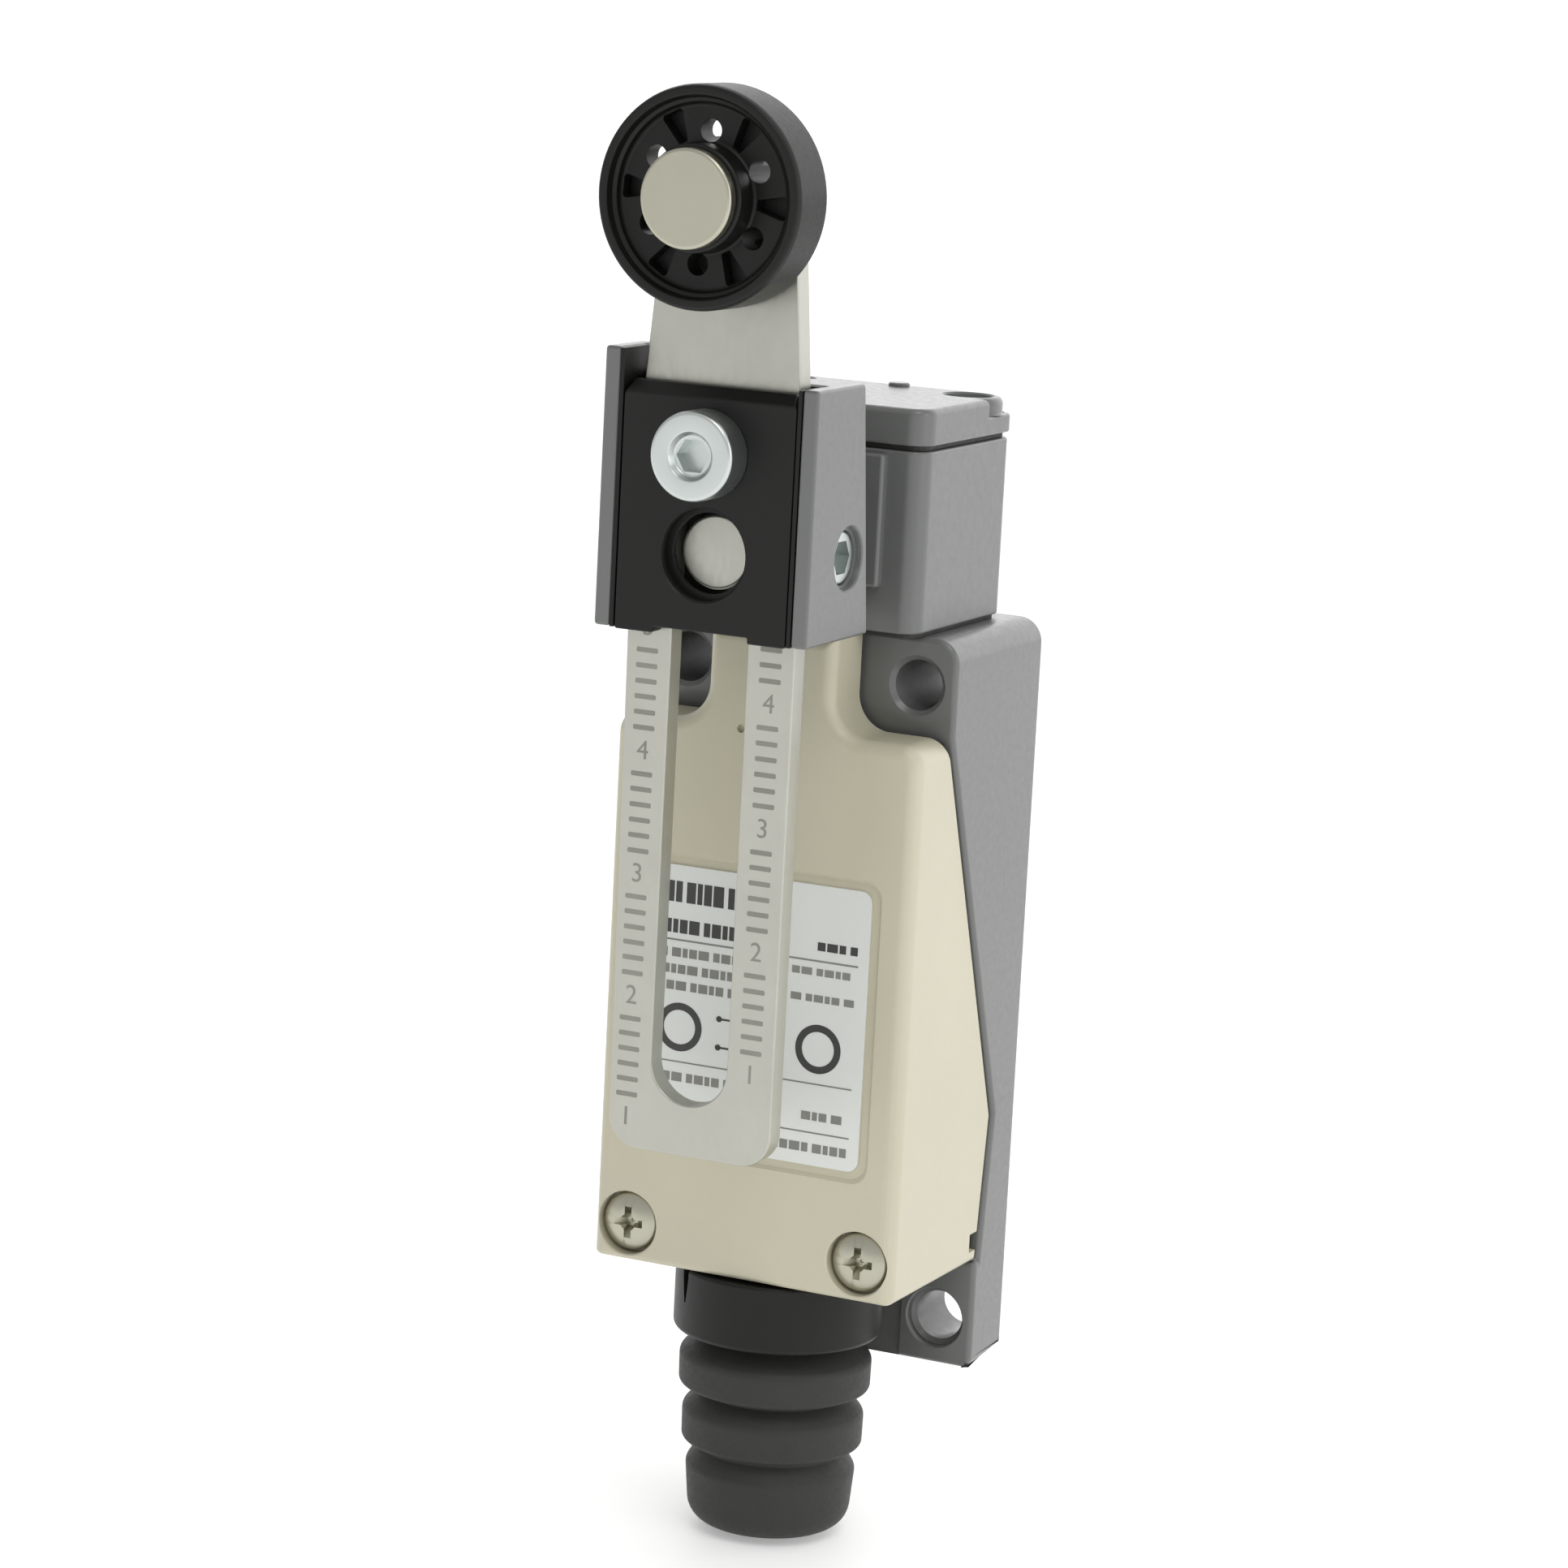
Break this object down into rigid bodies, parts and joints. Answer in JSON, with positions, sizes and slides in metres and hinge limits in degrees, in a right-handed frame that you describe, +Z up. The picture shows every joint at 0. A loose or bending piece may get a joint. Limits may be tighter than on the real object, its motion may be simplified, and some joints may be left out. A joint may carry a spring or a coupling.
{
  "type": "limit switch",
  "caption": "Limit switch: slim die-cast case with a sloping cover, a head with a spring-return shaft, a slotted adjustable lever with a roller, and a ribbed cable entry.",
  "frame": {"origin": "on the back mounting face, midway between the four mounting holes", "axes": "+Y out of the back mounting face, so the front faces -Y; +Z up along the case towards the head; +X to the right seen from the front"},
  "size_m": [0.028, 0.0432, 0.1216],
  "materials": {
    "grey_paint": "grey painted zinc casting, fine orange peel, semi-gloss",
    "beige_paint": "beige painted zinc casting, smooth semi-gloss",
    "black_plastic": "black moulded plastic with soft sheen",
    "rubber": "dark moulded rubber",
    "steel": "satin rolled and ground steel",
    "zinc": "bright zinc plated steel",
    "nickel": "yellowish bright nickel plated steel",
    "brass": "plain brass",
    "bronze": "sintered bronze",
    "phenolic": "dark brown moulded phenolic",
    "label_film": "white printed label film"
  },
  "bodies": {
    "housing": {"base": "grey_paint", "cover": "beige_paint", "cover_screw_left": "nickel", "cover_screw_right": "nickel", "head": "grey_paint", "head_cap": "grey_paint", "gland_collar": "black_plastic", "cable_gland": "rubber", "cover_gasket": "rubber", "rating_label": "label_film", "head_cap_seal": "rubber", "head_foot_seal": "rubber", "cap_screw_left": "zinc", "cap_screw_right": "zinc", "head_screw_1": "zinc", "head_screw_2": "zinc", "head_screw_3": "zinc", "head_screw_4": "zinc", "shaft_bush": "bronze", "shaft_seal": "rubber", "return_spring": "steel", "gland_washer": "zinc", "switch_case": "phenolic", "switch_lid": "phenolic", "terminal_nc_left": "brass", "terminal_nc_right": "brass", "terminal_no_left": "brass", "terminal_no_right": "brass", "terminal_screw_nc_left": "zinc", "terminal_screw_nc_right": "zinc", "terminal_screw_no_left": "zinc", "terminal_screw_no_right": "zinc", "switch_screw_1": "zinc", "switch_screw_2": "zinc", "button_spring": "steel", "earth_screw": "brass", "earth_washer": "brass"},
    "swing_arm": {"shaft": "steel", "cam": "steel", "retaining_clip": "zinc", "lever_holder": "grey_paint", "lever_guide": "black_plastic", "clamp_plate": "black_plastic", "clamp_screw": "zinc", "set_screw": "zinc"},
    "lever": {"lever_arm": "steel", "roller_pin": "nickel", "roller_washer": "zinc"},
    "roller": {"roller": "black_plastic"},
    "plunger": {"cam_follower": "steel"},
    "button": {"switch_button": "black_plastic"},
    "bridge": {"contact_bridge": "brass"}
  },
  "joints": [
    {"name": "lever_swing", "type": "hinge", "parent": "housing", "child": "swing_arm", "pos_m": [0, -0.03, 0.0395], "axis": [0, 1, 0], "range_deg": [-75, 75], "stiffness_Nm_per_rad": 0.12},
    {"name": "lever_length", "type": "slide", "parent": "swing_arm", "child": "lever", "axis": [0, 0, 1], "range_m": [0, 0.038]},
    {"name": "roller_spin", "type": "hinge", "parent": "lever", "child": "roller", "pos_m": [0, -0.0385, 0.0675], "axis": [0, 1, 0], "continuous": true},
    {"name": "plunger_travel", "type": "slide", "parent": "housing", "child": "plunger", "axis": [0, 0, 1], "range_m": [-0.0016, 0], "stiffness_N_per_m": 250, "springref_m": 0.002, "deforming": ["return_spring"]},
    {"name": "button_travel", "type": "slide", "parent": "housing", "child": "button", "axis": [0, 0, 1], "range_m": [-0.0016, 0], "deforming": ["button_spring"]},
    {"name": "bridge_travel", "type": "slide", "parent": "housing", "child": "bridge", "axis": [0, 0, 1], "range_m": [-0.0011, 0]}
  ],
  "couplings": [
    {"joint": "button_travel", "follows": "plunger_travel", "ratio": 1},
    {"joint": "bridge_travel", "follows": "plunger_travel", "ratio": 0.65}
  ]
}
